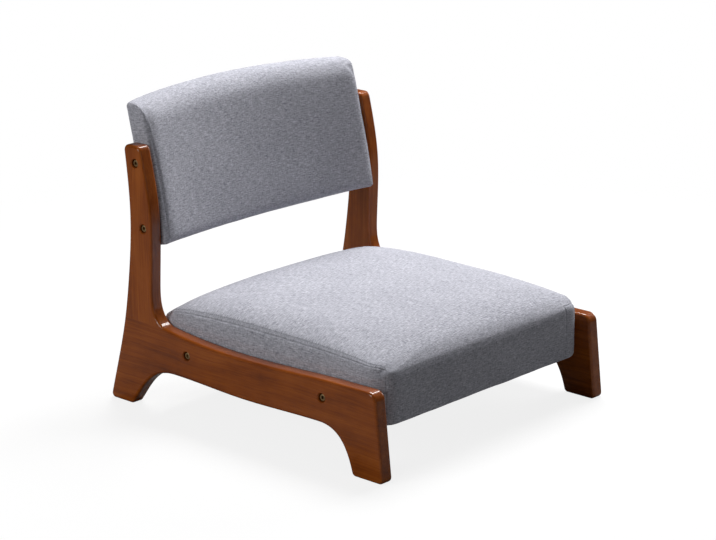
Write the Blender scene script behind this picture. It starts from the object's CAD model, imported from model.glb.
import math
import bpy
import numpy as np
from mathutils import Matrix, Vector, noise
from mathutils.bvhtree import BVHTree


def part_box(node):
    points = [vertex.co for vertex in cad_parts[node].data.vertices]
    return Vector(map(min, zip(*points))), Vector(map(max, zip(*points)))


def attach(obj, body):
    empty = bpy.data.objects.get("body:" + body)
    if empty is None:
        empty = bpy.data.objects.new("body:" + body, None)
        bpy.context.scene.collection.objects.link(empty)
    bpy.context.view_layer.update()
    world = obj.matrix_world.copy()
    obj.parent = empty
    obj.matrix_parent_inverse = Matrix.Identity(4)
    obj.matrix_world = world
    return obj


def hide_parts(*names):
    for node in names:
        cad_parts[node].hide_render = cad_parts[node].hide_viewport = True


# Low floor chair: two stained wooden side frames, an upholstered seat and backrest.
# Cushions are worked out in millimetres and made in metres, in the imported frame.
# Left is -x and right is +x, as seen from in front of the chair.
# A roll is the reach of a rounded edge. A wave is (height, size of a bump, seed).

MM = 0.001
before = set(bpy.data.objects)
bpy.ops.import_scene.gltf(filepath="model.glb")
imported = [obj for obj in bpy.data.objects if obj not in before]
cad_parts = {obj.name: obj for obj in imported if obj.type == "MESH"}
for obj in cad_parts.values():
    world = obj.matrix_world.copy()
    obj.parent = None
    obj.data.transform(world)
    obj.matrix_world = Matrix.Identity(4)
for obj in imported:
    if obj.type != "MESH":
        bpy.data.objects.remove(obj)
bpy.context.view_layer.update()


def millimetres(node):
    """Lowest and highest corner of a node, in millimetres."""
    low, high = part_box(node)
    return np.array(low) / MM, np.array(high) / MM


# ---------------------------------------------------------------- sizes of the seat cushion
seat_low, seat_high = millimetres("seat_cover")
deck_low, deck_high = millimetres("seat_deck")
DECK_TOP = deck_high[2]
SEAT_HALF = seat_high[0]
# The crown fades in over its rise, just below the rim. Its powers keep the middle flat.
SEAT_CROWN = 25.0
SEAT_RIM = seat_high[2] - SEAT_CROWN
SEAT_CROWN_RISE = 8.0
SEAT_CROWN_POWER_ACROSS = 8
SEAT_CROWN_POWER_ALONG = 5
# A split is the angle that a square edge takes on its roll. At flatness 1 a side is plane.
SEAT_ROLL = SEAT_RIM - DECK_TOP
SEAT_SIDE_ROLL = 14.0
SEAT_SIDE_SPLIT = 61.0
SEAT_SIDE_FLATNESS = 0.7
SEAT_FRONT_ROLL = 27.0
SEAT_FRONT_SQUARENESS = 3.0
SEAT_REAR_ROLL = 47.0
SEAT_FOOT_ROLL = 3.0
SEAT_CORNER_RADIUS = 36.0
SEAT_CORNER_SPLIT = 57.0
# Drops lower the corners, the tilt raises the rear, and the edges' middles are drawn in.
SEAT_FRONT_DROP = 3.3
SEAT_REAR_DROP = 10.5
SEAT_TILT = 1.4
SEAT_DRAW_IN = 1.5
SEAT_DRAWN_FROM = 0.85
FRONT_SEAM = 184.0
FRONT_HEM = 14.0
FRONT_HEM_SAG = 1.5
# The cloth stays these gaps off the wood. Walls up to the wrap inside the deck move out.
DECK_GAP = 0.5
DECK_WRAP = 12.0
RAIL_GAP = 0.3

# ---------------------------------------------------------------- sizes of the backrest cushion
# Across, through and up are measured from the bolts, in the plane of the leaning backrest.
bolts_low, bolts_high = millimetres("backrest_bolts")
BACK_HALF = SEAT_HALF
BACK_LEAN = math.radians(13.5)
BACK_ORIGIN = ((bolts_low[1] + bolts_high[1]) / 2, (bolts_low[2] + bolts_high[2]) / 2)
BACK_FRONT = -22.0
BACK_REAR = 17.2
BACK_BELOW = -78.2
BACK_ABOVE = 134.2
BACK_ARCH = 14.0
BACK_FRONT_BOW = 34.0
BACK_REAR_BOW = 37.5
BACK_FACE_CROWN = 3.0
BACK_TOP_FRONT_ROLL = (32.0, 34.0)
BACK_TOP_REAR_ROLL = 6.0
BACK_BOTTOM_ROLL = 11.0
BACK_LEFT_ROLL = (26.0, 10.0)
BACK_RIGHT_ROLL = (18.0, 10.0)
BACK_END_REAR_ROLL = 5.0
BACK_LEFT_RISE = 2.5
BACK_LEFT_RISE_START = 90.0

# ---------------------------------------------------------------- cloth: grids, swelling and waves
END_STEPS = (0.0, 1.3, 3.2, 5.6, 8.6, 12.2, 16.6, 22.0, 28.4)
SHORT_STEPS = END_STEPS[:6]
SEAT_FOOT_STEPS = (0.0, 1.5, 3.6)
BELOW_DECK_STEPS = (0.0, 3.0)
ABOVE_DECK_STEPS = (DECK_GAP, 2.5)
BACK_REAR_STEPS = (0.0, 1.3, 3.2, 6.0, 10.0)
GRID_STEP = 7.0
BACK_THROUGH_STEP = 5.0
SMOOTH_LEVELS = 1

CLOTH_SETTINGS = {
    "quality": 6,
    "mass": 0.25,
    "tension_stiffness": 40,
    "compression_stiffness": 40,
    "shear_stiffness": 12,
    "bending_stiffness": 1.5,
    "use_pressure": True,
    "uniform_pressure_force": 3.0,
}
SWELL_FRAMES = 20
SEAT_SWELL = 1.0
BACK_SWELL = 0.8
# A zone's start and end are counted from the deck's top or from the rear face.
SEAT_FREE_ZONE = (-12.0, 6.0)
SEAT_WAVE_ZONE = (-20.0, 15.0)
BACK_HELD_ZONE = (-20.0, -4.0)

SEAT_WAVES = ((0.7, 90.0, 3.1), (0.25, 28.0, 7.7))
SEAT_FINE_WAVE = (0.12, 14.0, 5.3)
SEAT_FOOT_EDGE = 1.0
FRONT_HEM_WAVE = (1.0, 45.0, 1.9)
BACK_WAVES = ((0.6, 80.0, 2.3), (0.25, 26.0, 6.1), (0.12, 13.0, 4.9))
DUST_CLOTH_LINES = 61
DUST_CLOTH_SAG = 2.2
DUST_CLOTH_WAVE = (0.35, 70.0, 1.7)

# ---------------------------------------------------------------- seams, gathers and stitches
SEAM_SIDE_STEPS = (1.3, 3.2, 5.6)
SEAM_CLEARANCE = 1.5
SEAT_SEAM_DEPTH = 1.3
BACK_SEAM_DEPTH = 0.6
SEAM_SHARPNESS = 0.85
GATHER_HEIGHT = 0.35
GATHER_SETBACK = 5.0
GATHER_WIDTH = 6.0
GATHER_WANDER = 2
GATHER_WANDER_SIZE = 40.0
SEAT_GATHERS = {"pitch": 13.0, "seed": 9.0}
BACK_GATHERS = {"pitch": 14.0, "seed": 8.0}

TOPSTITCH_SETBACK = 8.0
TOPSTITCH_MARGIN = 14.0
TOPSTITCH_PLACES = 80
STITCH_LENGTH = 3.0
STITCH_PITCH = 4.0
STITCH_RADIUS = 0.32
STITCH_LIFT = 0.5
STITCH_DIP = 0.9
STITCH_SIDES = 6
# Place along the stitch, in half lengths, and girth, in radii.
STITCH_RINGS = ((-1.0, 0.15), (-0.8, 0.75), (-0.35, 1.0), (0.35, 1.0), (0.8, 0.75), (1.0, 0.15))


# ---------------------------------------------------------------- shells of cloth
def put(name, data):
    """A new object of the data, in the scene."""
    thing = bpy.data.objects.new(name, data)
    bpy.context.scene.collection.objects.link(thing)
    return thing


def on(values, place):
    """Which values lie at a place, such as one face of a plain box."""
    return np.abs(values - place) < 0.01


def stations(low, high, step=GRID_STEP, low_ends=END_STEPS, high_ends=END_STEPS):
    """Positions from low to high, close together at both ends and even between."""
    near = [low + offset for offset in low_ends]
    far = [high - offset for offset in reversed(high_ends)]
    gaps = max(1, round((far[0] - near[-1]) / step))
    middle = [near[-1] + (far[0] - near[-1]) * count / gaps for count in range(1, gaps)]
    return near + middle + far


def box_shell(axes):
    """Places and faces of a closed box whose six sides are grids on the given positions."""
    index = {}
    places = []
    faces = []

    def corner(cell):
        if cell not in index:
            index[cell] = len(places)
            places.append([axes[axis][cell[axis]] for axis in range(3)])
        return index[cell]

    for axis in range(3):
        first, second = (axis + 1) % 3, (axis + 2) % 3
        for end in (0, len(axes[axis]) - 1):
            for i in range(len(axes[first]) - 1):
                for j in range(len(axes[second]) - 1):
                    ring = [(i, j), (i + 1, j), (i + 1, j + 1), (i, j + 1)]
                    if end == 0:
                        ring.reverse()
                    cells = []
                    for a, b in ring:
                        cell = [0, 0, 0]
                        cell[axis], cell[first], cell[second] = end, a, b
                        cells.append(corner(tuple(cell)))
                    faces.append((axis, cells))
    return np.array(places), faces


def rounded(a, b, corner, radius, split=45.0, power=2.0):
    """Moves the points near a square corner of an outline onto a quarter ellipse.

    The signs of the two radii say which way the corner points.
    The corner itself goes to the split angle, counted from the first axis.
    A power above 2 gives a squarer curve than the ellipse.
    """
    inner_a, inner_b = corner[0] - radius[0], corner[1] - radius[1]
    u = np.maximum((a - inner_a) / radius[0], 0.0)
    v = np.maximum((b - inner_b) / radius[1], 0.0)
    zone = (u > 0) & (v > 0)
    reach = np.maximum(u, v)
    safe = np.where(reach > 0, reach, 1.0)
    angle = np.where(u >= v, split * v / safe, 90.0 - (90.0 - split) * u / safe)
    angle = np.radians(angle)
    a = np.where(zone, inner_a + radius[0] * reach * np.cos(angle) ** (2 / power), a)
    b = np.where(zone, inner_b + radius[1] * reach * np.sin(angle) ** (2 / power), b)
    return a, b


def smooth_share(value, start, end):
    """0 before start, 1 after end, and a smooth rise between."""
    share = np.clip((value - start) / (end - start), 0.0, 1.0)
    return share * share * (3.0 - 2.0 * share)


def ripple(places, size, seed):
    """Smooth noise from -1 to 1 at each place; size is the size of a bump."""
    shift = Vector((seed, 2.0 * seed, 3.0 * seed))
    return np.array([noise.noise(Vector(place) / size + shift) for place in places])


def waves(places, *kinds):
    """Sum of the waves at each place."""
    return sum(height * ripple(places, size, seed) for height, size, seed in kinds)


def gathers(places, from_seam, along, pitch, seed):
    """Small puckers beside a seam, from the distance to it and the way along it."""
    near = np.exp(-(((from_seam - GATHER_SETBACK) / GATHER_WIDTH) ** 2))
    wander = GATHER_WANDER * ripple(places, GATHER_WANDER_SIZE, seed)
    return near * GATHER_HEIGHT * np.sin(along * 2 * math.pi / pitch + wander)


def cloth_mesh(name, places, faces, unroll, flat):
    """A mesh object of the shell, with its cloth coordinates in metres."""
    mesh = bpy.data.meshes.new(name)
    mesh.from_pydata(places * MM, [], [cells for _, cells in faces])
    mesh.shade_smooth()
    layer = mesh.uv_layers.new(name="cloth")
    spots = [unroll(axis, flat[vertex]) for axis, cells in faces for vertex in cells]
    layer.data.foreach_set("uv", (np.array(spots) * MM).ravel())
    return put(name, mesh)


def vertex_values(mesh, key):
    """A value with three parts of every vertex, such as its place or its normal."""
    values = np.zeros(len(mesh.vertices) * 3)
    mesh.vertices.foreach_get(key, values)
    return values.reshape(-1, 3)


def get_places(mesh):
    return vertex_values(mesh, "co") / MM


def set_places(mesh, places):
    mesh.vertices.foreach_set("co", (places * MM).ravel())
    mesh.update()


def swell(piece, held, most):
    """Cloth under air pressure swells between its held points, by no more than a cap."""
    scene = bpy.context.scene
    start = get_places(piece.data)
    pins = piece.vertex_groups.new(name="held")
    for vertex, weight in enumerate(held):
        if weight > 0:
            pins.add([vertex], float(weight), "REPLACE")
    cloth = piece.modifiers.new("swell", "CLOTH")
    for key, value in CLOTH_SETTINGS.items():
        setattr(cloth.settings, key, value)
    cloth.settings.vertex_group_mass = pins.name
    cloth.settings.effector_weights.gravity = 0
    cloth.collision_settings.use_collision = False
    for step in range(1, SWELL_FRAMES + 1):
        scene.frame_set(step)
    swollen = piece.evaluated_get(bpy.context.evaluated_depsgraph_get()).to_mesh()
    moved = get_places(swollen) - start
    piece.modifiers.remove(cloth)
    piece.vertex_groups.remove(pins)
    scene.frame_set(1)
    length = np.linalg.norm(moved, axis=1)
    share = most * np.tanh(length / most) / np.maximum(length, 1e-9)
    set_places(piece.data, start + moved * share[:, None])


def raised(piece, places, lift):
    """The places moved out along the surface's normals."""
    return places + vertex_values(piece.data, "normal") * lift[:, None]


def keep_off_rails(places):
    """Flattens the cloth where it would reach a side rail."""
    room = millimetres("right_side_rail")[0][0] - RAIL_GAP
    places[:, 0] = np.clip(places[:, 0], -room, room)


def finish_cushion(piece, places, seam):
    """Gives the cushion its last places and a smooth surface with sharp seams."""
    mesh = piece.data
    set_places(mesh, places)
    crease = mesh.attributes.new("crease_edge", "FLOAT", "EDGE")
    sharp = [SEAM_SHARPNESS if seam[edge.vertices[0]] and seam[edge.vertices[1]] else 0.0
             for edge in mesh.edges]
    crease.data.foreach_set("value", sharp)
    smoother = piece.modifiers.new("smooth", "SUBSURF")
    smoother.levels = SMOOTH_LEVELS
    smoother.render_levels = SMOOTH_LEVELS


# ---------------------------------------------------------------- seat cushion
def with_seam(positions, place):
    """The positions with close lines on both sides of a seam in place of their neighbours."""
    reach = SEAM_SIDE_STEPS[-1] + SEAM_CLEARANCE
    kept = [position for position in positions if abs(position - place) > reach]
    lines = [place + way * step for way in (-1, 1) for step in SEAM_SIDE_STEPS]
    return sorted(kept + lines + [place])


def seat_axes():
    """Grid positions of the seat, with close lines at its edges and at the front seam."""
    across = with_seam(stations(-SEAT_HALF, SEAT_HALF), FRONT_SEAM)
    along = stations(seat_low[1], seat_high[1])
    upright = stations(seat_low[2], DECK_TOP, GRID_STEP, SEAT_FOOT_STEPS, BELOW_DECK_STEPS)
    upright += [DECK_TOP + step for step in ABOVE_DECK_STEPS]
    upright += [SEAT_RIM - step for step in reversed(SHORT_STEPS)]
    return across, along, upright


def seat_unroll(axis, place):
    """Cloth coordinates: the top runs on over the front and the rear."""
    x, y, z = place
    if axis == 0:
        return y, z
    if axis == 2:
        return x, y
    if y < 0:
        return x, seat_low[1] - (SEAT_RIM - z)
    return x, seat_high[1] + (SEAT_RIM - z)


def roll_seat_edges(x, y, z):
    """A plain box with its upper edges rolled over and its foot and corners rounded."""
    side_lean = SEAT_SIDE_ROLL * (1 - math.cos(math.radians(SEAT_SIDE_SPLIT)))
    for side in (-1, 1):
        edge = side * SEAT_HALF
        strip = on(x, edge) & (z > DECK_TOP)
        plane = edge - side * side_lean * (z - DECK_TOP) / SEAT_ROLL
        side_roll = (side * SEAT_SIDE_ROLL, SEAT_ROLL)
        x, z = rounded(x, z, (edge, SEAT_RIM), side_roll, SEAT_SIDE_SPLIT)
        x = np.where(strip, x + SEAT_SIDE_FLATNESS * (plane - x), x)
        x, z = rounded(x, z, (edge, seat_low[2]), (side * SEAT_FOOT_ROLL, -SEAT_FOOT_ROLL))
    front_roll = (-SEAT_FRONT_ROLL, SEAT_ROLL)
    y, z = rounded(y, z, (seat_low[1], SEAT_RIM), front_roll, power=SEAT_FRONT_SQUARENESS)
    y, z = rounded(y, z, (seat_high[1], SEAT_RIM), (SEAT_REAR_ROLL, SEAT_ROLL))
    for edge, way in ((seat_low[1], -1), (seat_high[1], 1)):
        y, z = rounded(y, z, (edge, seat_low[2]), (way * SEAT_FOOT_ROLL, -SEAT_FOOT_ROLL))
        for side in (-1, 1):
            radius = (side * SEAT_CORNER_RADIUS, way * SEAT_CORNER_RADIUS)
            x, y = rounded(x, y, (side * SEAT_HALF, edge), radius, SEAT_CORNER_SPLIT)
    return x, y, z


def crown_seat(x, y, z):
    """The crown of the top, its fall to the corners, its tilt and its drawn-in edges."""
    middle = (seat_low[1] + seat_high[1]) / 2
    half_depth = (seat_high[1] - seat_low[1]) / 2
    across = np.clip(np.abs(x) / SEAT_HALF, 0, 1)
    back = np.clip((y - middle) / half_depth, -1, 1)
    along = np.abs(back)
    upper = np.clip((z - SEAT_RIM) / SEAT_CROWN_RISE + 1, 0, 1)
    height = np.clip((z - DECK_TOP) / SEAT_ROLL, 0, 1)
    crown = (1 - across**SEAT_CROWN_POWER_ACROSS) * (1 - along**SEAT_CROWN_POWER_ALONG)
    z = z + SEAT_CROWN * crown * upper
    drop = np.where(back < 0, SEAT_FRONT_DROP, SEAT_REAR_DROP)
    z = z - drop * (along * across) ** 2 * height + SEAT_TILT * back * upper
    drawn = SEAT_DRAW_IN * np.clip((z - DECK_TOP) / SEAT_ROLL, 0, 1)
    x = x - np.sign(x) * drawn * (1 - along**2) * smooth_share(across, SEAT_DRAWN_FROM, 1.0)
    y = y - np.sign(back) * drawn * (1 - across**2) * smooth_share(along, SEAT_DRAWN_FROM, 1.0)
    return x, y, z


def seat_shape(flat):
    """The seat's shape from the places of a plain box."""
    return np.stack(crown_seat(*roll_seat_edges(*flat.T.copy())), axis=1)


def seat_seams(flat):
    """Which places of the plain box lie on a seam of the seat's cover."""
    x, y, z = flat.T
    left, right = on(x, -SEAT_HALF), on(x, SEAT_HALF)
    front, rear = on(y, seat_low[1]), on(y, seat_high[1])
    top = on(z, SEAT_RIM)
    seam = (left | right) & (top | rear)
    seam |= left & front
    seam |= front & on(x, FRONT_SEAM)
    return seam | (front & top & (x >= FRONT_SEAM))


def clear_of_deck(places, wall):
    """Moves places of the cover's walls that lie inside the wood out to just beyond it."""
    middle, half = (deck_low + deck_high) / 2, (deck_high - deck_low) / 2 + DECK_GAP
    radius = SEAT_CORNER_RADIUS - (SEAT_HALF - half[0])
    offset = places[:, :2] - middle[:2]
    past = np.abs(offset) - (half[:2] - radius)
    low = wall & (places[:, 2] < DECK_TOP + DECK_GAP)
    length = np.hypot(past[:, 0], past[:, 1])
    corner = low & (past > 0).all(axis=1) & (length < radius)
    reach = np.where(corner, radius / np.maximum(length, 1e-6), 1.0)
    past = past * reach[:, None]
    for axis in (0, 1):
        inside = (past[:, axis] > radius - DECK_WRAP) & (past[:, axis] < radius)
        edge = low & ~corner & inside
        past[:, axis] = np.where(edge & (past[:, 1 - axis] <= 0), radius, past[:, axis])
    moved = middle[:2] + np.sign(offset) * (past + half[:2] - radius)
    places[:, :2] = np.where(low[:, None], moved, places[:, :2])


def sag_front_hem(places):
    """Lets the cloth's lower front edge hang a little and unevenly."""
    hem = smooth_share(seat_low[2] + FRONT_HEM - places[:, 2], 0.0, FRONT_HEM)
    hem *= smooth_share(seat_low[1] + FRONT_HEM - places[:, 1], 0.0, FRONT_HEM)
    places[:, 2] -= hem * (FRONT_HEM_SAG + waves(places * [1, 0, 0], FRONT_HEM_WAVE))


def make_seat():
    """The seat cushion: swollen, waved, gathered at the side seams and clear of the wood."""
    flat, faces = box_shell(seat_axes())
    x, y, z = flat.T
    seam = seat_seams(flat)
    piece = cloth_mesh("seat_cushion", seat_shape(flat), faces, seat_unroll, flat)
    free = smooth_share(z - DECK_TOP, *SEAT_FREE_ZONE)
    swell(piece, np.maximum(np.where(seam, 1.0, 0.0), 1.0 - free), SEAT_SWELL)
    places = get_places(piece.data)
    lift = smooth_share(z - DECK_TOP, *SEAT_WAVE_ZONE) * waves(places, *SEAT_WAVES)
    above_foot = z > seat_low[2] + SEAT_FOOT_EDGE
    lift += np.where(above_foot, waves(places, SEAT_FINE_WAVE), 0.0)
    from_seam = (SEAT_HALF - np.abs(x)) + (SEAT_RIM - z)
    lift += gathers(places, from_seam, places[:, 1], **SEAT_GATHERS)
    lift -= np.where(seam, SEAT_SEAM_DEPTH, 0.0)
    places = raised(piece, places, lift)
    keep_off_rails(places)
    places[:, 2] = np.maximum(places[:, 2], seat_low[2])
    wall = on(np.abs(x), SEAT_HALF) | on(y, seat_low[1]) | on(y, seat_high[1])
    clear_of_deck(places, wall)
    sag_front_hem(places)
    finish_cushion(piece, places, seam)
    return piece


# ---------------------------------------------------------------- backrest cushion
def back_axes():
    """Grid positions of the backrest across, through and up."""
    across = stations(-BACK_HALF, BACK_HALF)
    through = stations(BACK_FRONT, BACK_REAR, BACK_THROUGH_STEP, SHORT_STEPS, BACK_REAR_STEPS)
    up = stations(BACK_BELOW, BACK_ABOVE)
    return across, through, up


def back_unroll(axis, place):
    """Cloth coordinates: the front runs on over the top and the bottom."""
    x, n, t = place
    if axis == 0:
        return n, t
    if axis == 1:
        return x, t
    if t > 0:
        return x, BACK_ABOVE + (n - BACK_FRONT)
    return x, BACK_BELOW - (n - BACK_FRONT)


def roll_back_edges(x, n, t):
    """A plain box across, through and up, with all its edges rolled over."""
    front_top = (-BACK_TOP_FRONT_ROLL[0], BACK_TOP_FRONT_ROLL[1])
    n, t = rounded(n, t, (BACK_FRONT, BACK_ABOVE), front_top)
    n, t = rounded(n, t, (BACK_REAR, BACK_ABOVE), (BACK_TOP_REAR_ROLL, BACK_TOP_REAR_ROLL))
    for edge, way in ((BACK_FRONT, -1), (BACK_REAR, 1)):
        n, t = rounded(n, t, (edge, BACK_BELOW), (way * BACK_BOTTOM_ROLL, -BACK_BOTTOM_ROLL))
    for side, roll in ((-1, BACK_LEFT_ROLL), (1, BACK_RIGHT_ROLL)):
        edge = side * BACK_HALF
        end_roll = (side * BACK_END_REAR_ROLL, BACK_END_REAR_ROLL)
        x, n = rounded(x, n, (edge, BACK_FRONT), (side * roll[0], -roll[1]))
        x, n = rounded(x, n, (edge, BACK_REAR), end_roll)
        x, t = rounded(x, t, (edge, BACK_ABOVE), end_roll)
        x, t = rounded(x, t, (edge, BACK_BELOW), (end_roll[0], -end_roll[1]))
    return x, n, t


def back_shape(flat):
    """The bowed and leaning backrest from the places of a plain box."""
    x, n, t = roll_back_edges(*flat.T.copy())
    along = 1.0 - (x / BACK_HALF) ** 2
    rise = (t - BACK_BELOW) / (BACK_ABOVE - BACK_BELOW)
    depth = (n - BACK_FRONT) / (BACK_REAR - BACK_FRONT)
    n = n - BACK_FACE_CROWN * (1 - (2 * rise - 1) ** 2) * (1 - depth)
    n = n + BACK_FRONT_BOW * along + (BACK_REAR_BOW - BACK_FRONT_BOW) * along * depth
    left_rise = BACK_LEFT_RISE * smooth_share(-x, BACK_LEFT_RISE_START, BACK_HALF)
    t = t + (BACK_ARCH * along + left_rise) * rise
    y = BACK_ORIGIN[0] + n * math.cos(BACK_LEAN) + t * math.sin(BACK_LEAN)
    z = BACK_ORIGIN[1] - n * math.sin(BACK_LEAN) + t * math.cos(BACK_LEAN)
    return np.stack([x, y, z], axis=1)


def make_backrest():
    """The backrest cushion: swollen, waved and gathered at its end seams."""
    flat, faces = box_shell(back_axes())
    x, n, t = flat.T
    at_end = on(np.abs(x), BACK_HALF)
    at_face = on(n, BACK_FRONT) | on(n, BACK_REAR)
    at_top = on(t, BACK_ABOVE) | on(t, BACK_BELOW)
    seam = at_end & (at_face | at_top)
    piece = cloth_mesh("backrest_cushion", back_shape(flat), faces, back_unroll, flat)
    rear = smooth_share(n - BACK_REAR, *BACK_HELD_ZONE)
    swell(piece, np.maximum(np.where(at_end, 1.0, 0.0), rear), BACK_SWELL)
    places = get_places(piece.data)
    lift = waves(places, *BACK_WAVES)
    lift += gathers(places, BACK_HALF - np.abs(x), t, **BACK_GATHERS)
    lift -= np.where(seam, BACK_SEAM_DEPTH, 0.0)
    places = raised(piece, places, lift)
    keep_off_rails(places)
    finish_cushion(piece, places, seam)
    return piece


# ---------------------------------------------------------------- stitches
def along_path(path):
    """A function that gives the point at a length along the path, and the whole length."""
    lengths = [0.0]
    for start, end in zip(path, path[1:]):
        lengths.append(lengths[-1] + (end - start).length)

    def at(length):
        for count in range(len(path) - 1):
            if length <= lengths[count + 1]:
                share = (length - lengths[count]) / (lengths[count + 1] - lengths[count])
                return path[count].lerp(path[count + 1], share)
        return path[-1]

    return at, lengths[-1]


def add_stitch(places, faces, spot, normal, ahead):
    """One stitch: a rounded bar of thread whose two ends dip into the cloth."""
    beside = normal.cross(ahead)
    half = STITCH_LENGTH / 2 * MM
    base = len(places)
    for reach, girth in STITCH_RINGS:
        rise = STITCH_LIFT - STITCH_DIP * reach**2
        centre = spot + ahead * half * reach + normal * STITCH_RADIUS * MM * rise
        for side in range(STITCH_SIDES):
            turn = 2 * math.pi * side / STITCH_SIDES
            offset = beside * math.cos(turn) + normal * math.sin(turn)
            places.append(centre + offset * STITCH_RADIUS * girth * MM)
    rings = [range(first, first + STITCH_SIDES)
             for first in range(base, len(places), STITCH_SIDES)]
    for ring in rings[:-1]:
        for side in range(STITCH_SIDES):
            a, b = ring[side], ring[(side + 1) % STITCH_SIDES]
            faces.append((a, b, b + STITCH_SIDES, a + STITCH_SIDES))
    faces.append(list(reversed(rings[0])))
    faces.append(list(rings[-1]))


def stitch_row(name, path, tree):
    """A row of thread stitches laid along a path on a cushion's surface."""
    at, whole = along_path([Vector(place) * MM for place in path])
    half = STITCH_LENGTH / 2 * MM
    places = []
    faces = []
    for number in range(int(whole / (STITCH_PITCH * MM))):
        middle = (number + 0.5) * STITCH_PITCH * MM
        first, last = at(middle - half), at(middle + half)
        spot, normal, _, _ = tree.find_nearest((first + last) / 2)
        ahead = (last - first).normalized()
        ahead = (ahead - normal * ahead.dot(normal)).normalized()
        add_stitch(places, faces, spot, normal, ahead)
    mesh = bpy.data.meshes.new(name)
    mesh.from_pydata(places, [], faces)
    mesh.shade_smooth()
    return put(name, mesh)


def seat_stitches(seat):
    """Topstitching above the side seams of the seat."""
    tree = BVHTree.FromObject(seat, bpy.context.evaluated_depsgraph_get())
    low, high = seat_low[1] + TOPSTITCH_MARGIN, seat_high[1] - TOPSTITCH_MARGIN
    along = np.linspace(low, high, TOPSTITCH_PLACES)
    rows = []
    for side, name in ((-1, "seat_topstitch_left"), (1, "seat_topstitch_right")):
        across = np.full(TOPSTITCH_PLACES, side * (SEAT_HALF - TOPSTITCH_SETBACK))
        flat = np.stack([across, along, np.full(TOPSTITCH_PLACES, SEAT_RIM)], axis=1)
        rows.append(stitch_row(name, seat_shape(flat), tree))
    return rows


# ---------------------------------------------------------------- dust cloth below the seat
def make_dust_cloth():
    """Thin non-woven sheet that sags a little between its staples."""
    low, high = millimetres("seat_dust_cover")
    across, along = np.linspace(low[:2], high[:2], DUST_CLOTH_LINES).T
    flat, faces = box_shell((list(across), list(along), [low[2], high[2]]))
    from_middle = (flat - (low + high) / 2) / ((high - low) / 2)
    hang = (1 - from_middle[:, 0] ** 4) * (1 - from_middle[:, 1] ** 4)
    places = flat.copy()
    places[:, 2] -= DUST_CLOTH_SAG * hang * (1 + waves(flat, DUST_CLOTH_WAVE))
    return cloth_mesh("seat_dust_cloth", places, faces, lambda axis, place: place[:2], flat)


# ---------------------------------------------------------------- materials
# Dark, middle and light tones.
WALNUT = ((0.150, 0.030, 0.003, 1), (0.290, 0.065, 0.004, 1), (0.430, 0.116, 0.012, 1))
PINE = ((0.45, 0.28, 0.13, 1), (0.58, 0.40, 0.22, 1), (0.70, 0.53, 0.34, 1))
PLY = ((0.50, 0.34, 0.18, 1), (0.62, 0.47, 0.28, 1), (0.74, 0.60, 0.42, 1))
BLUE_GREY = ((0.20, 0.20, 0.235, 1), (0.43, 0.432, 0.485, 1), (0.70, 0.70, 0.76, 1))
YARN_PITCH = 0.0011

# Roughness of the wood and weight of its lacquer.
LACQUERED = (0.38, 0.7)
PLANED = (0.7, 0.0)
SANDED = (0.65, 0.0)

# Name, axis of the grain, tones, seed and finish of each wood, and the nodes made of it.
ACROSS, ALONG, UPRIGHT = 0, 1, 2
WOODS = (
    ("rail_wood_left", ALONG, WALNUT, 1.3, LACQUERED, ["left_side_rail"]),
    ("rail_wood_right", ALONG, WALNUT, 4.1, LACQUERED, ["right_side_rail"]),
    ("post_wood_left", UPRIGHT, WALNUT, 2.6, LACQUERED, ["left_back_post"]),
    ("post_wood_right", UPRIGHT, WALNUT, 5.9, LACQUERED, ["right_back_post"]),
    ("pine_across", ACROSS, PINE, 3.3, PLANED, [
        "seat_front_rail", "seat_rear_rail", "backrest_bottom_rail", "backrest_top_rail"]),
    ("pine_along", ALONG, PINE, 6.2, PLANED, ["seat_left_rail", "seat_right_rail"]),
    ("pine_upright", UPRIGHT, PINE, 8.4, PLANED, [
        "backrest_left_stile", "backrest_right_stile", "seat_corner_blocks", "post_dowels"]),
    ("plywood", ACROSS, PLY, 7.1, SANDED, ["seat_deck", "backrest_panel"]),
)

# Name, dark and light tone, roughness and metallic share of each metal, and its nodes.
METALS = (
    ("zinc_steel", (0.42, 0.42, 0.40, 1), (0.62, 0.62, 0.60, 1), 0.35, 1.0, [
        "deck_screws", "seat_staples"]),
    ("bolt_bronze", (0.20, 0.12, 0.05, 1), (0.44, 0.30, 0.14, 1), 0.34, 0.6, [
        "seat_bolts", "seat_bolt_washers", "backrest_bolts", "backrest_bolt_washers"]),
    ("insert_brass", (0.50, 0.36, 0.15, 1), (0.70, 0.54, 0.26, 1), 0.3, 1.0, [
        "seat_threaded_inserts", "backrest_threaded_inserts"]),
)


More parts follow.
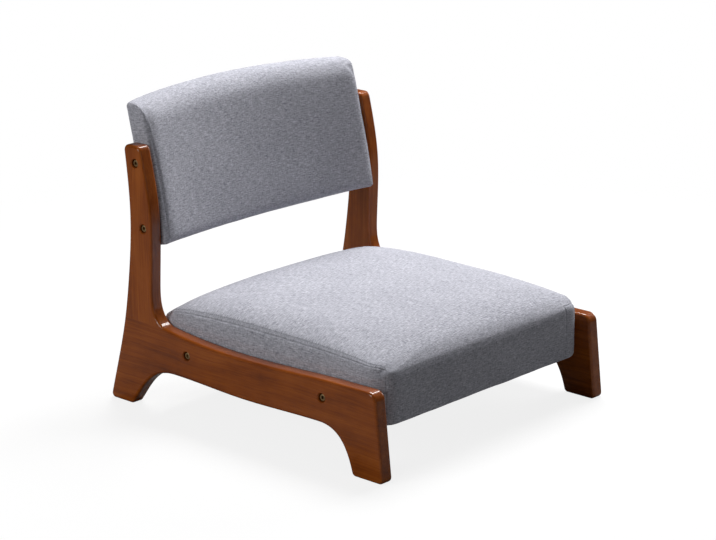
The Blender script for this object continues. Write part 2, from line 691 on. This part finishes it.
class Shader:
    """One material's node tree, with short ways to add and join nodes."""

    def __init__(self, name):
        self.material = bpy.data.materials.new(name)
        self.material.use_nodes = True
        self.tree = self.material.node_tree
        self.surface = self.tree.nodes["Principled BSDF"]

    def add(self, kind, inputs=None, output=0, **settings):
        """Adds a node, sets or joins its inputs, and returns one of its outputs."""
        node = self.tree.nodes.new(kind)
        for key, value in settings.items():
            setattr(node, key, value)
        for key, value in (inputs or {}).items():
            self.join(value, node.inputs[key])
        return node.outputs[output]

    def join(self, value, socket):
        if isinstance(value, bpy.types.NodeSocket):
            self.tree.links.new(value, socket)
        else:
            socket.default_value = value

    def set(self, **inputs):
        """Sets or joins inputs of the surface; an underscore stands for a space."""
        for key, value in inputs.items():
            self.join(value, self.surface.inputs[key.replace("_", " ")])

    def place(self):
        """Object coordinates, which are the frame's metres."""
        return self.add("ShaderNodeTexCoord", output=3)

    def cloth(self):
        """Cloth coordinates of a cushion or a sheet, in metres."""
        return self.add("ShaderNodeUVMap", uv_map="cloth")

    def math(self, operation, first, second=0.0):
        return self.add("ShaderNodeMath", {0: first, 1: second}, operation=operation)

    def vector(self, operation, inputs, output=0):
        return self.add("ShaderNodeVectorMath", inputs, output, operation=operation)

    def weighted(self, *parts):
        """Sum of (value, weight) parts."""
        total, *others = [self.math("MULTIPLY", value, weight) for value, weight in parts]
        for other in others:
            total = self.math("ADD", total, other)
        return total

    def mix(self, share, first, second):
        inputs = {0: share, 6: first, 7: second}
        return self.add("ShaderNodeMix", inputs, 2, data_type="RGBA")

    def scaled(self, vector, scale):
        return self.add("ShaderNodeMapping", {"Vector": vector, "Scale": scale})

    def noise(self, vector, scale, detail=2.0, roughness=0.5, distortion=0.0):
        inputs = {
            "Vector": self.scaled(vector, scale),
            "Scale": 1.0,
            "Detail": detail,
            "Roughness": roughness,
            "Distortion": distortion,
        }
        return self.add("ShaderNodeTexNoise", inputs)

    def ramp(self, factor, stops):
        """Colour ramp through (position, colour) stops."""
        node = self.tree.nodes.new("ShaderNodeValToRGB")
        self.join(factor, node.inputs[0])
        elements = node.color_ramp.elements
        while len(elements) < len(stops):
            elements.new(0.5)
        for element, (position, colour) in zip(elements, stops):
            element.position = position
            element.color = colour
        return node.outputs[0]

    def range(self, value, low, high, new_low, new_high):
        inputs = {0: value, 1: low, 2: high, 3: new_low, 4: new_high}
        return self.add("ShaderNodeMapRange", inputs)

    def bump(self, height, strength, distance):
        inputs = {"Height": height, "Strength": strength, "Distance": distance}
        return self.add("ShaderNodeBump", inputs)


def grey(level):
    return (level, level, level, 1.0)


def even(scale):
    return (scale, scale, scale)


def stretched(axis, along, across):
    """Texture scale with a different value along the grain."""
    scale = [across, across, across]
    scale[axis] = along
    return scale


def wood_material(name, axis, tones, seed, finish):
    """Wood with wandering grain, fine pores and soft blotches along one axis of the frame."""
    roughness, lacquer = finish
    s = Shader(name)
    shift = (seed, 0.37 * seed, 0.71 * seed)
    place = s.add("ShaderNodeMapping", {"Vector": s.place(), "Location": shift})
    wander = s.add("ShaderNodeTexNoise", {"Vector": place, "Scale": 4.0, "Detail": 2.0}, 1)
    wander = s.vector("SUBTRACT", {0: wander, 1: even(0.5)})
    wander = s.vector("SCALE", {0: wander, 3: 0.016})
    bent = s.vector("ADD", {0: place, 1: wander})
    figure = s.noise(bent, stretched(axis, 3.0, 70.0), 3.0, 0.55, 0.3)
    grain = s.noise(bent, stretched(axis, 9.0, 420.0), 4.0, 0.65)
    pores = s.noise(bent, stretched(axis, 90.0, 1500.0), 2.0, 0.6)
    blotch = s.noise(place, even(11.0), 3.0, 0.55)
    tone = s.weighted((figure, 0.34), (grain, 0.36), (blotch, 0.30))
    dark, middle, light = tones
    colour = s.ramp(tone, [(0.34, dark), (0.50, middle), (0.68, light)])
    pits = s.range(pores, 0.56, 0.74, 0.0, 0.4)
    relief = s.weighted((pits, -1.0), (grain, 0.3))
    s.set(
        Base_Color=s.mix(pits, colour, dark),
        Roughness=s.range(grain, 0.3, 0.7, roughness - 0.05, roughness + 0.08),
        Normal=s.bump(relief, 0.22, 0.0002),
        Specular_IOR_Level=0.10,
        Coat_Weight=lacquer,
        Coat_Roughness=0.11,
    )
    return s.material


def upholstery_material():
    """Heathered plain weave: streaky yarns both ways, a fine weave in relief, and sheen."""
    s = Shader("upholstery")
    cloth = s.cloth()
    weft = s.noise(cloth, (90.0, 740.0, 1.0), 3.0, 0.62)
    warp = s.noise(cloth, (700.0, 140.0, 1.0), 3.0, 0.6)
    mottle = s.noise(cloth, (260.0, 420.0, 1.0), 3.0, 0.6)
    patches = s.noise(cloth, (14.0, 14.0, 1.0), 2.0, 0.5)
    tone = s.weighted((weft, 0.47), (warp, 0.26), (mottle, 0.27))
    tone = s.math("ADD", tone, s.range(patches, 0.3, 0.7, -0.012, 0.012))
    dark, middle, light = BLUE_GREY
    across = s.add("ShaderNodeSeparateXYZ", {0: cloth})
    yarns = [s.math("SINE", s.math("MULTIPLY", way, 2 * math.pi / YARN_PITCH))
             for way in (across, across.node.outputs[1])]
    relief = s.weighted((s.math("MULTIPLY", *yarns), 0.5), (mottle, 0.8))
    s.set(
        Base_Color=s.ramp(tone, [(0.36, dark), (0.50, middle), (0.64, light)]),
        Roughness=0.93,
        Specular_IOR_Level=0.12,
        Sheen_Weight=0.10,
        Sheen_Roughness=0.45,
        Sheen_Tint=(0.88, 0.88, 0.95, 1.0),
        Normal=s.bump(relief, 0.45, 0.0004),
    )
    return s.material


def thread_material():
    """Twisted sewing thread."""
    s = Shader("thread")
    twist = s.noise(s.place(), even(2500.0), 1.0)
    colour = s.ramp(twist, [(0.35, (0.16, 0.175, 0.20, 1)), (0.65, (0.30, 0.32, 0.36, 1))])
    s.set(Base_Color=colour, Roughness=0.7, Sheen_Weight=0.2, Normal=s.bump(twist, 0.3, 0.0001))
    return s.material


def dust_cloth_material():
    """Black non-woven cloth: matted fibres with pressed dots."""
    s = Shader("dust_cloth")
    cloth = s.cloth()
    fibres = s.noise(cloth, (900.0, 900.0, 1.0), 4.0, 0.7)
    spots = s.scaled(cloth, (500.0, 500.0, 1.0))
    dots = s.add("ShaderNodeTexVoronoi", {"Vector": spots, "Scale": 1.0, "Randomness": 0.15})
    tone = s.weighted((fibres, 0.7), (dots, 0.4))
    s.set(
        Base_Color=s.ramp(tone, [(0.3, (0.012, 0.012, 0.014, 1)), (0.8, (0.045, 0.045, 0.05, 1))]),
        Roughness=0.9,
        Specular_IOR_Level=0.2,
        Normal=s.bump(tone, 0.4, 0.0003),
    )
    return s.material


def metal_material(name, dark, light, roughness, metallic):
    """Plain metal with fine turning marks and a little tarnish."""
    s = Shader(name)
    place = s.place()
    marks = s.noise(place, (300.0, 1500.0, 1500.0), 3.0, 0.6)
    tarnish = s.noise(place, even(120.0), 4.0, 0.6)
    s.set(
        Base_Color=s.ramp(tarnish, [(0.35, dark), (0.65, light)]),
        Metallic=metallic,
        Roughness=s.range(marks, 0.3, 0.7, roughness - 0.06, roughness + 0.1),
        Normal=s.bump(marks, 0.12, 0.00008),
    )
    return s.material


def dress_nodes():
    """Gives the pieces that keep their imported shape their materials."""
    for make, looks in ((wood_material, WOODS), (metal_material, METALS)):
        for *look, nodes in looks:
            material = make(*look)
            for node in nodes:
                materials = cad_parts[node].data.materials
                materials.clear()
                materials.append(material)


# ---------------------------------------------------------------- room, light and camera
# To the camera the floor glows white, less near the chair so that its shadow shows.
FLOOR_HALF = 12.0
FLOOR_SHADE = 0.22
FLOOR_WHITE = 0.95
SHADOW_REACH = (0.45, 1.3)
SHADOW_GLOW = 0.84
DAYLIGHT = (0.97, 0.98, 1.0, 1.0)
DAYLIGHT_STRENGTH = 0.05

# Name, place, target, side in metres and power in watts of each lamp.
LAMPS = (
    ("top_light", (0.95, 0.45, 2.1), (0.0, 0.0, 0.2), 1.2, 72.0),
    ("left_light", (-2.25, 0.55, 0.9), (0.0, 0.0, 0.15), 0.9, 19.0),
    ("right_light", (2.2, -0.1, 0.9), (0.0, 0.0, 0.2), 0.9, 22.0),
    ("front_light", (-0.6, -2.3, 0.9), (0.0, 0.0, 0.2), 0.9, 2.5),
)

CAMERA_PLACE = (-2.7131, -2.4932, 1.3050)
CAMERA_TURN = -47.531
CAMERA_DOWN = 16.711
CAMERA_ROLL = -0.114
SENSOR_WIDTH = 36.0
LENS = 129.24


def make_floor():
    """A large pale floor that shows white to the camera and keeps the shadow."""
    mesh = bpy.data.meshes.new("floor")
    corners = [(x * FLOOR_HALF, y * FLOOR_HALF, 0) for x, y in ((-1, -1), (1, -1), (1, 1), (-1, 1))]
    mesh.from_pydata(corners, [], [(0, 1, 2, 3)])
    floor = put("floor", mesh)
    s = Shader("floor")
    seen = s.add("ShaderNodeLightPath")
    colour = s.mix(seen, grey(FLOOR_SHADE), grey(FLOOR_WHITE))
    s.set(Base_Color=colour, Roughness=1.0, Specular_IOR_Level=0.0)
    reach = s.vector("LENGTH", {0: s.place()}, 1)
    glow = s.range(reach, *SHADOW_REACH, SHADOW_GLOW, 1.0)
    white = s.add("ShaderNodeEmission", {"Color": grey(1.0), "Strength": 1.0})
    share = s.math("MULTIPLY", seen, glow)
    mixed = s.add("ShaderNodeMixShader", {0: share, 1: s.surface.outputs[0], 2: white})
    s.tree.links.new(mixed, s.tree.nodes["Material Output"].inputs[0])
    mesh.materials.append(s.material)


def make_world():
    """White to the camera, and a faint daylight for everything else."""
    world = bpy.data.worlds.new("dome")
    bpy.context.scene.world = world
    world.use_nodes = True
    tree = world.node_tree
    daylight = tree.nodes["Background"]
    daylight.inputs[0].default_value = DAYLIGHT
    daylight.inputs[1].default_value = DAYLIGHT_STRENGTH
    white = tree.nodes.new("ShaderNodeBackground")
    white.inputs[0].default_value = grey(1.0)
    white.inputs[1].default_value = 1.0
    path = tree.nodes.new("ShaderNodeLightPath")
    mix = tree.nodes.new("ShaderNodeMixShader")
    tree.links.new(path.outputs["Is Camera Ray"], mix.inputs[0])
    tree.links.new(daylight.outputs[0], mix.inputs[1])
    tree.links.new(white.outputs[0], mix.inputs[2])
    tree.links.new(mix.outputs[0], tree.nodes["World Output"].inputs[0])


def make_lamp(name, place, target, side, power):
    """A square soft lamp that points at its target."""
    lamp = bpy.data.lights.new(name, "AREA")
    lamp.shape = "SQUARE"
    lamp.size = side
    lamp.energy = power
    holder = put(name, lamp)
    holder.location = place
    holder.rotation_euler = (Vector(target) - Vector(place)).to_track_quat("-Z", "Y").to_euler()


def make_camera():
    """The photograph's viewpoint: a long lens from the front left, a little above."""
    camera = bpy.data.cameras.new("camera")
    camera.sensor_fit = "HORIZONTAL"
    camera.sensor_width = SENSOR_WIDTH
    camera.lens = LENS
    camera.clip_end = 50.0
    holder = put("camera", camera)
    turned = Matrix.Rotation(math.radians(CAMERA_TURN), 4, "Z")
    tilted = Matrix.Rotation(math.radians(90.0 - CAMERA_DOWN), 4, "X")
    rolled = Matrix.Rotation(math.radians(CAMERA_ROLL), 4, "Z")
    holder.matrix_world = Matrix.Translation(CAMERA_PLACE) @ turned @ tilted @ rolled
    bpy.context.scene.camera = holder


# ---------------------------------------------------------------- the whole scene
def dress(piece, material):
    """Gives a piece its material and its slot, and lets it ride on the chair's one body."""
    piece.data.materials.append(material)
    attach(piece, "root")


make_camera()
make_world()
make_floor()
for lamp in LAMPS:
    make_lamp(*lamp)

dress_nodes()
upholstery = upholstery_material()
thread = thread_material()

seat = make_seat()
dress(seat, upholstery)
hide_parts("seat_cover", "seat_foam")

backrest = make_backrest()
dress(backrest, upholstery)
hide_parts("backrest_cover", "backrest_front_foam", "backrest_rear_padding")

for row in seat_stitches(seat):
    dress(row, thread)

dust_cloth = make_dust_cloth()
dress(dust_cloth, dust_cloth_material())
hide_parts("seat_dust_cover")

bpy.context.scene.view_settings.view_transform = "Standard"
bpy.context.view_layer.update()
